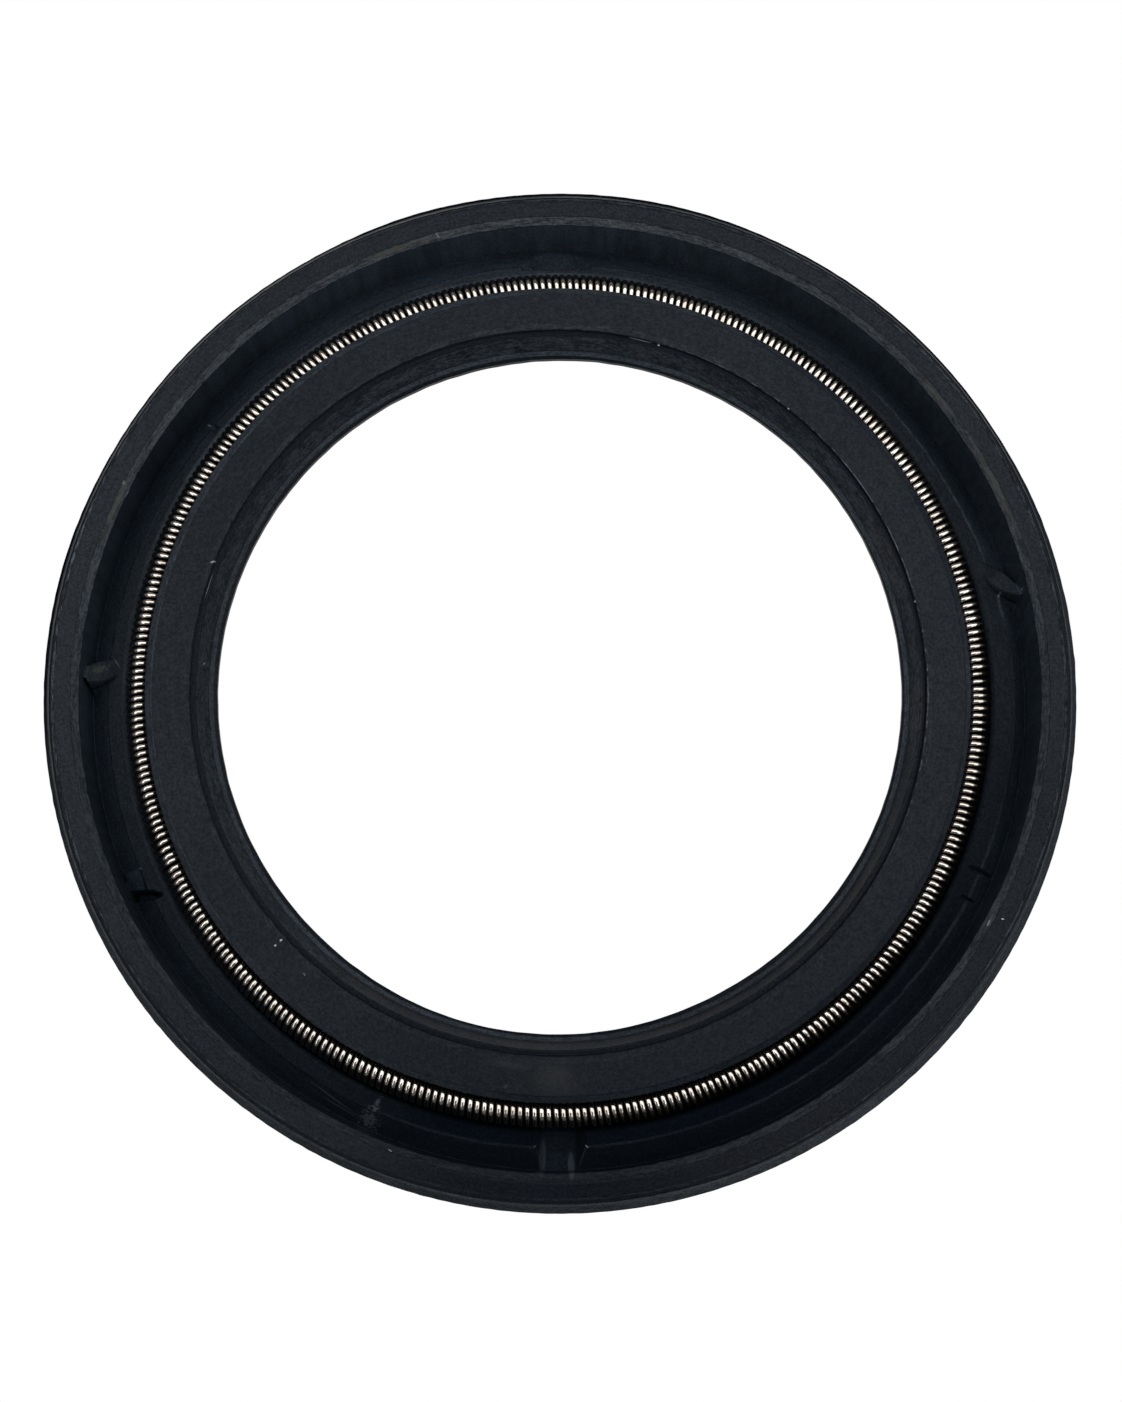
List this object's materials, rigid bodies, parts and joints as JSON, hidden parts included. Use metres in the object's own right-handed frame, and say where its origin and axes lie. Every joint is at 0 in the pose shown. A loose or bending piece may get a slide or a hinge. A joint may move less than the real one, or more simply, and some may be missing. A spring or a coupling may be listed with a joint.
{
  "type": "radial shaft seal",
  "caption": "Round rubber-covered shaft seal: a flexible sealing lip loaded by a garter spring runs on the shaft, and the rubber outside presses into a housing bore.",
  "frame": {"origin": "centre of the back (air side) face, on the seal's axis", "axes": "+Z along the seal's axis towards the spring (oil) side; +Y points to the top of the picture when the seal is seen from the spring side"},
  "size_m": [0.065, 0.065, 0.008],
  "materials": {
    "nitrile_rubber": "satin black, moulded",
    "case_steel": "cold-drawn strip, bonded inside the rubber",
    "spring_steel": "bright drawn wire"
  },
  "bodies": {
    "root": {"rubber_body": "nitrile_rubber", "case_insert": "case_steel", "garter_spring": "spring_steel"}
  },
  "joints": []
}
